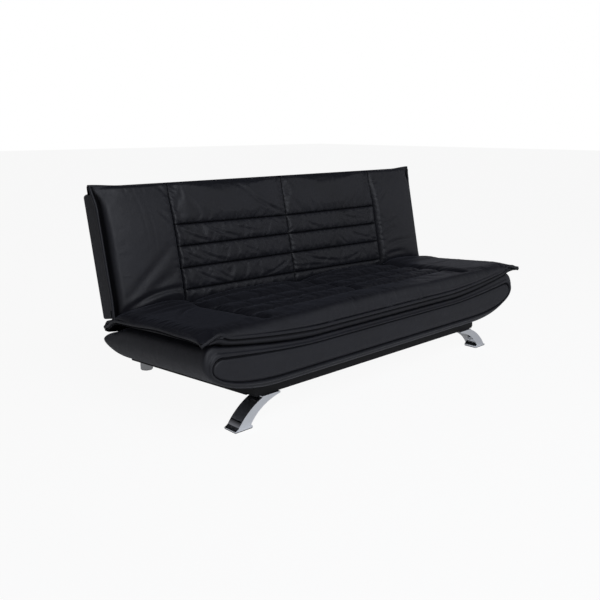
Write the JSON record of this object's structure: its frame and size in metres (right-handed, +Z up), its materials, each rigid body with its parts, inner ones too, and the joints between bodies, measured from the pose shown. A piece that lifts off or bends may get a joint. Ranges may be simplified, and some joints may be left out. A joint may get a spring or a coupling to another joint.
{
  "type": "click clack sofa bed",
  "caption": "Armless leather click clack sofa bed: boat-shaped seat with pillow-top pad, channelled back that folds flat on ratchet hinges, black steel base and chromed legs.",
  "frame": {"origin": "on the floor, in the middle of the footprint", "axes": "+X along the sofa to the sitter's left, +Y to the rear, +Z up; the front looks towards -Y"},
  "size_m": [1.9591, 0.9332, 0.8578],
  "materials": {
    "leather": "satin",
    "frame_steel": "satin",
    "zinc": "satin",
    "chrome": "polished",
    "rubber": "matte",
    "timber": "matte",
    "foam": "matte",
    "felt": "matte"
  },
  "bodies": {
    "base": {"base_front_tube": "frame_steel", "base_rear_tube": "frame_steel", "base_side_tube_left": "frame_steel", "base_side_tube_right": "frame_steel", "base_middle_tube": "frame_steel", "front_leg_left": "chrome", "front_leg_right": "chrome", "rear_leg_left": "chrome", "rear_leg_right": "chrome", "front_glide_left": "rubber", "front_glide_right": "rubber", "rear_glide_left": "rubber", "rear_glide_right": "rubber", "leg_bolt_left": "zinc", "leg_bolt_right": "zinc", "hinge_bracket_left": "frame_steel", "hinge_bracket_right": "frame_steel", "seat_bumper_left": "rubber", "seat_bumper_right": "rubber", "hub_bolt_left": "zinc", "hub_bolt_right": "zinc"},
    "seat": {"boat_front_wall": "leather", "boat_end_left": "leather", "boat_end_right": "leather", "boat_floor": "leather", "boat_rear_block": "leather", "front_panel": "leather", "dust_cover": "felt", "seat_front_tube": "frame_steel", "seat_rear_tube": "frame_steel", "seat_side_tube_left": "frame_steel", "seat_side_tube_right": "frame_steel", "seat_slat_1": "timber", "seat_slat_2": "timber", "seat_slat_3": "timber", "seat_slat_4": "timber", "seat_foam_deck": "foam", "seat_pad": "leather", "seat_arm_left": "frame_steel", "seat_arm_right": "frame_steel"},
    "back": {"back_arm_left": "frame_steel", "back_arm_right": "frame_steel", "back_foot_tube": "frame_steel", "back_top_tube": "frame_steel", "back_side_tube_left": "frame_steel", "back_side_tube_right": "frame_steel", "back_slat_1": "timber", "back_slat_2": "timber", "back_slat_3": "timber", "back_foam_deck": "foam", "back_panel": "leather", "back_border_left": "leather", "back_border_right": "leather", "back_border_top": "leather", "back_border_foot": "leather", "back_pad": "leather"},
    "left_pawl": {"pawl_left": "zinc"},
    "right_pawl": {"pawl_right": "zinc"}
  },
  "joints": [
    {"name": "seat_lift", "type": "hinge", "parent": "base", "child": "seat", "pos_m": [0, 0.17, 0.265], "axis": [-1, 0, 0], "range_deg": [0, 15]},
    {"name": "back_fold", "type": "hinge", "parent": "seat", "child": "back", "pos_m": [0, 0.17, 0.265], "axis": [-1, 0, 0], "range_deg": [0, 78]},
    {"name": "left_pawl_release", "type": "hinge", "parent": "seat", "child": "left_pawl", "pos_m": [-0.66235, 0.11701, 0.25267], "axis": [-1, 0, 0], "range_deg": [0, 20], "stiffness_Nm_per_rad": 0.3, "springref_deg": -11.46},
    {"name": "right_pawl_release", "type": "hinge", "parent": "seat", "child": "right_pawl", "pos_m": [0.66235, 0.11701, 0.25267], "axis": [-1, 0, 0], "range_deg": [0, 20], "stiffness_Nm_per_rad": 0.3, "springref_deg": -11.46}
  ]
}
